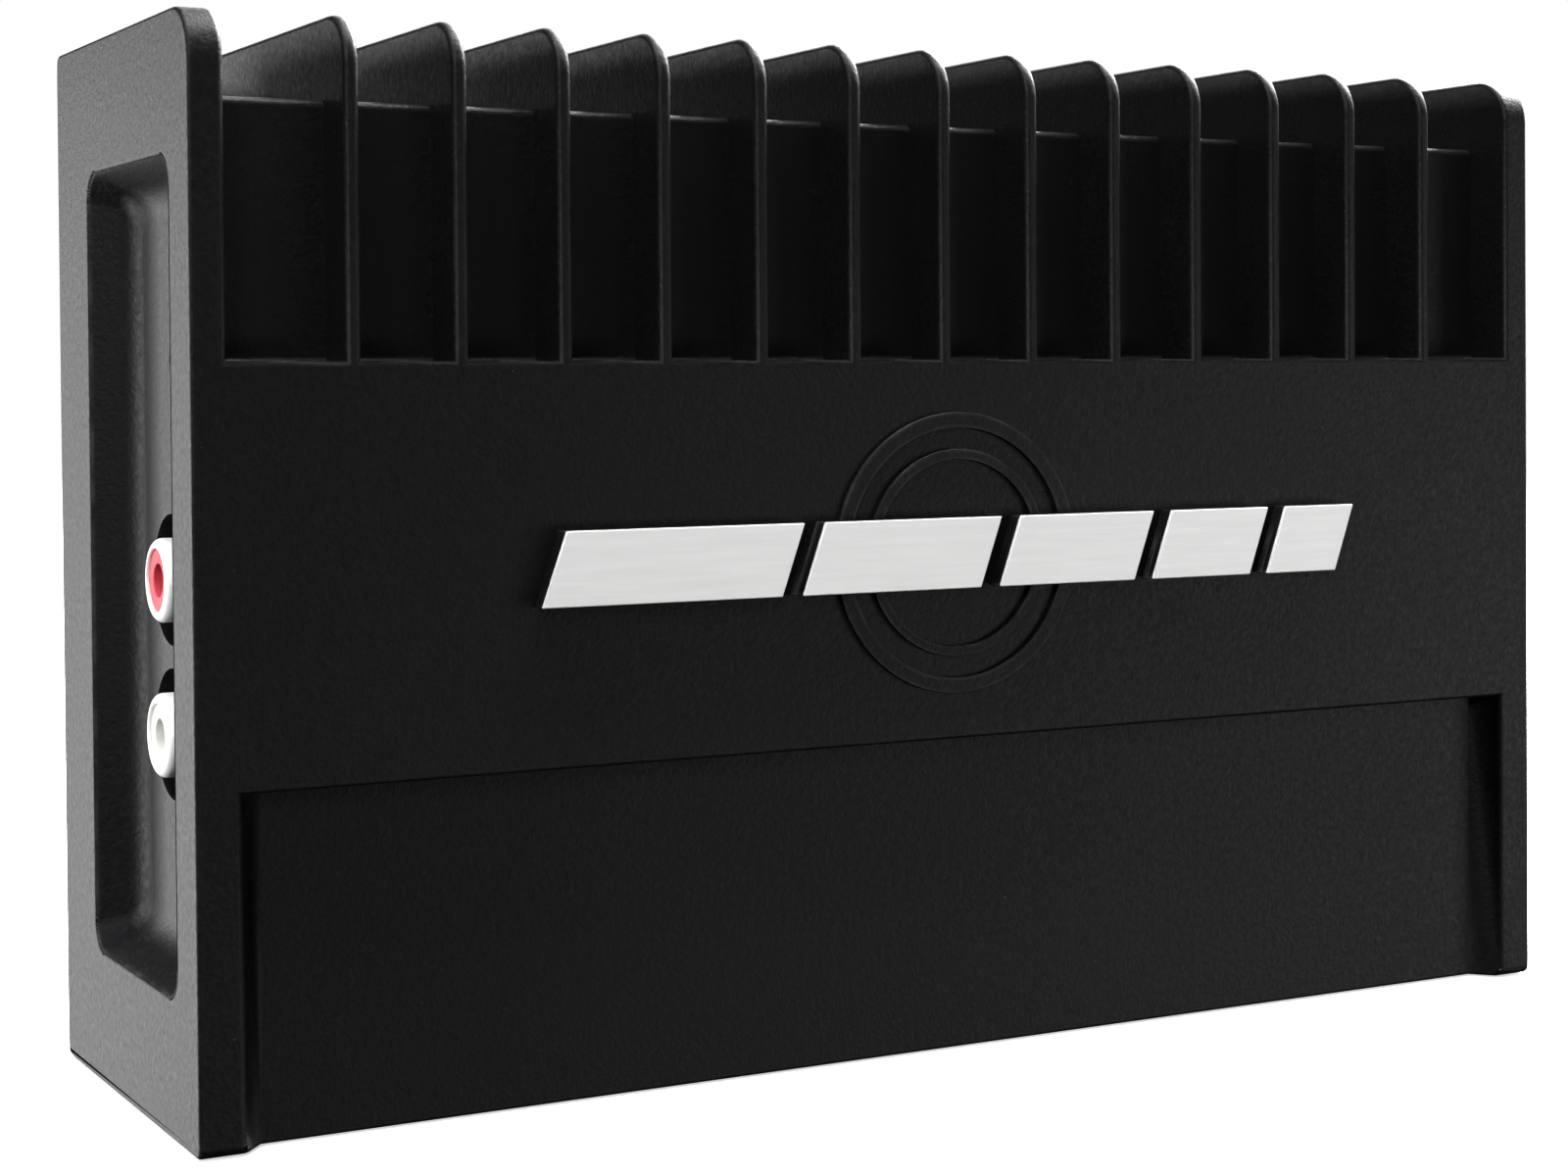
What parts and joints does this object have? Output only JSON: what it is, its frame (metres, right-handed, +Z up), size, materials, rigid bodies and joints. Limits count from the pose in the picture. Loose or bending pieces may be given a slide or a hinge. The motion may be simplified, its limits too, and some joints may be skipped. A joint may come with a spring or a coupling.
{
  "type": "car amplifier",
  "caption": "Compact finned car amplifier in a black die-cast housing, with input jacks and controls in one end and screw-clamp plugs and a fuse in the other.",
  "frame": {"origin": "centre of the footprint, on the surface that the amplifier stands on", "axes": "+X along the length from the input end to the power end, -Y out of the badged front face, +Z up through the fins"},
  "size_m": [0.16, 0.0494, 0.105],
  "materials": {
    "casting_black": "fine textured satin powder coat",
    "badge_silver": "finely brushed bare metal",
    "plate_black": "satin black coat on sheet steel",
    "screw_zinc": "bright zinc",
    "board_green": "green solder mask",
    "jack_black": "moulded, matt",
    "nickel": "bright nickel plate",
    "insulator_red": "moulded, glossy",
    "insulator_white": "moulded, glossy",
    "contact_tin": "tin plate",
    "pot_blue": "moulded, matt",
    "knob_white": "moulded, satin",
    "switch_steel": "pressed steel shell",
    "slider_black": "moulded, satin",
    "led_blue": "clear tinted lens",
    "led_red": "clear tinted lens",
    "header_green": "moulded, satin",
    "plug_black": "moulded, satin",
    "cage_steel": "nickel plated steel",
    "screw_yellow": "yellow passivated zinc",
    "holder_black": "moulded, matt",
    "fuse_blue": "clear tinted plastic",
    "core_green": "epoxy coated iron powder",
    "core_yellow": "epoxy coated iron powder",
    "copper": "enamelled copper wire",
    "package_black": "moulded epoxy",
    "pad_grey": "soft silicone sheet",
    "bar_steel": "plain spring steel",
    "can_black": "shrink sleeve over a rolled can",
    "film_red": "dipped epoxy"
  },
  "bodies": {
    "chassis": {"housing": "casting_black", "badge_plates": "badge_silver", "base_plate": "plate_black", "base_plate_screws": "screw_zinc", "main_board": "board_green", "board_screws": "screw_zinc", "rca_body": "jack_black", "rca_barrels": "nickel", "rca_insulator_red": "insulator_red", "rca_insulator_white": "insulator_white", "rca_contacts": "contact_tin", "gain_pot_body": "pot_blue", "crossover_pot_body": "pot_blue", "filter_switch_body": "switch_steel", "power_led": "led_blue", "protect_led": "led_red", "led_leads": "contact_tin", "power_header": "header_green", "power_header_pins": "contact_tin", "speaker_header": "header_green", "speaker_header_pins": "contact_tin", "fuse_holder": "holder_black", "fuse_clips": "contact_tin", "transformer_core": "core_green", "transformer_winding": "copper", "supply_transistors": "package_black", "output_transistors": "package_black", "transistor_pads": "pad_grey", "clamp_bars": "bar_steel", "clamp_screws": "bar_steel", "supply_capacitors": "can_black", "output_choke_cores": "core_yellow", "output_choke_windings": "copper", "opamp_chips": "package_black", "controller_chip": "package_black", "film_capacitors": "film_red", "signal_capacitors": "can_black"},
    "gain_knob": {"gain_knob": "knob_white"},
    "crossover_knob": {"crossover_knob": "knob_white"},
    "filter_slider": {"filter_switch_slider": "slider_black"},
    "power_plug": {"power_plug": "plug_black", "power_plug_contacts": "contact_tin"},
    "speaker_plug": {"speaker_plug": "plug_black", "speaker_plug_contacts": "contact_tin"},
    "fuse": {"fuse_body": "fuse_blue", "fuse_blades": "contact_tin"},
    "power_screw_ground": {"power_screw_ground": "screw_zinc"},
    "power_cage_ground": {"power_cage_ground": "cage_steel"},
    "power_screw_remote": {"power_screw_remote": "screw_zinc"},
    "power_cage_remote": {"power_cage_remote": "cage_steel"},
    "power_screw_plus": {"power_screw_plus": "screw_yellow"},
    "power_cage_plus": {"power_cage_plus": "cage_steel"},
    "speaker_screw_1": {"speaker_screw_1": "screw_zinc"},
    "speaker_cage_1": {"speaker_cage_1": "cage_steel"},
    "speaker_screw_2": {"speaker_screw_2": "screw_zinc"},
    "speaker_cage_2": {"speaker_cage_2": "cage_steel"},
    "speaker_screw_3": {"speaker_screw_3": "screw_zinc"},
    "speaker_cage_3": {"speaker_cage_3": "cage_steel"},
    "speaker_screw_4": {"speaker_screw_4": "screw_zinc"},
    "speaker_cage_4": {"speaker_cage_4": "cage_steel"}
  },
  "joints": [
    {"name": "gain_turn", "type": "hinge", "parent": "chassis", "child": "gain_knob", "pos_m": [-0.0753, -0.00355, 0.0637], "axis": [-1, 0, 0], "range_deg": [-135, 135]},
    {"name": "crossover_turn", "type": "hinge", "parent": "chassis", "child": "crossover_knob", "pos_m": [-0.0753, -0.00355, 0.0731], "axis": [-1, 0, 0], "range_deg": [-135, 135]},
    {"name": "filter_slide", "type": "slide", "parent": "chassis", "child": "filter_slider", "axis": [0, 0, 1], "range_m": [-0.002, 0.002]},
    {"name": "power_plug_pull", "type": "slide", "parent": "chassis", "child": "power_plug", "axis": [1, 0, 0], "range_m": [0, 0.02]},
    {"name": "speaker_plug_pull", "type": "slide", "parent": "chassis", "child": "speaker_plug", "axis": [1, 0, 0], "range_m": [0, 0.02]},
    {"name": "fuse_pull", "type": "slide", "parent": "chassis", "child": "fuse", "axis": [1, 0, 0], "range_m": [0, 0.012]},
    {"name": "power_screw_ground_turn", "type": "hinge", "parent": "power_plug", "child": "power_screw_ground", "pos_m": [0.0725, -0.0062, 0.02201], "axis": [0, 1, 0], "range_deg": [0, 1080]},
    {"name": "power_cage_ground_lift", "type": "slide", "parent": "power_plug", "child": "power_cage_ground", "axis": [0, -1, 0], "range_m": [0, 0.0015]},
    {"name": "power_screw_remote_turn", "type": "hinge", "parent": "power_plug", "child": "power_screw_remote", "pos_m": [0.0725, -0.0062, 0.02963], "axis": [0, 1, 0], "range_deg": [0, 1080]},
    {"name": "power_cage_remote_lift", "type": "slide", "parent": "power_plug", "child": "power_cage_remote", "axis": [0, -1, 0], "range_m": [0, 0.0015]},
    {"name": "power_screw_plus_turn", "type": "hinge", "parent": "power_plug", "child": "power_screw_plus", "pos_m": [0.0725, -0.0062, 0.03725], "axis": [0, 1, 0], "range_deg": [0, 1080]},
    {"name": "power_cage_plus_lift", "type": "slide", "parent": "power_plug", "child": "power_cage_plus", "axis": [0, -1, 0], "range_m": [0, 0.0015]},
    {"name": "speaker_screw_1_turn", "type": "hinge", "parent": "speaker_plug", "child": "speaker_screw_1", "pos_m": [0.0725, -0.0062, 0.05761], "axis": [0, 1, 0], "range_deg": [0, 1080]},
    {"name": "speaker_cage_1_lift", "type": "slide", "parent": "speaker_plug", "child": "speaker_cage_1", "axis": [0, -1, 0], "range_m": [0, 0.0015]},
    {"name": "speaker_screw_2_turn", "type": "hinge", "parent": "speaker_plug", "child": "speaker_screw_2", "pos_m": [0.0725, -0.0062, 0.06523], "axis": [0, 1, 0], "range_deg": [0, 1080]},
    {"name": "speaker_cage_2_lift", "type": "slide", "parent": "speaker_plug", "child": "speaker_cage_2", "axis": [0, -1, 0], "range_m": [0, 0.0015]},
    {"name": "speaker_screw_3_turn", "type": "hinge", "parent": "speaker_plug", "child": "speaker_screw_3", "pos_m": [0.0725, -0.0062, 0.07285], "axis": [0, 1, 0], "range_deg": [0, 1080]},
    {"name": "speaker_cage_3_lift", "type": "slide", "parent": "speaker_plug", "child": "speaker_cage_3", "axis": [0, -1, 0], "range_m": [0, 0.0015]},
    {"name": "speaker_screw_4_turn", "type": "hinge", "parent": "speaker_plug", "child": "speaker_screw_4", "pos_m": [0.0725, -0.0062, 0.08047], "axis": [0, 1, 0], "range_deg": [0, 1080]},
    {"name": "speaker_cage_4_lift", "type": "slide", "parent": "speaker_plug", "child": "speaker_cage_4", "axis": [0, -1, 0], "range_m": [0, 0.0015]}
  ],
  "couplings": [
    {"joint": "power_screw_ground_turn", "follows": "power_cage_ground_lift", "rad_per_m": 12566},
    {"joint": "power_screw_remote_turn", "follows": "power_cage_remote_lift", "rad_per_m": 12566},
    {"joint": "power_screw_plus_turn", "follows": "power_cage_plus_lift", "rad_per_m": 12566},
    {"joint": "speaker_screw_1_turn", "follows": "speaker_cage_1_lift", "rad_per_m": 12566},
    {"joint": "speaker_screw_2_turn", "follows": "speaker_cage_2_lift", "rad_per_m": 12566},
    {"joint": "speaker_screw_3_turn", "follows": "speaker_cage_3_lift", "rad_per_m": 12566},
    {"joint": "speaker_screw_4_turn", "follows": "speaker_cage_4_lift", "rad_per_m": 12566}
  ]
}
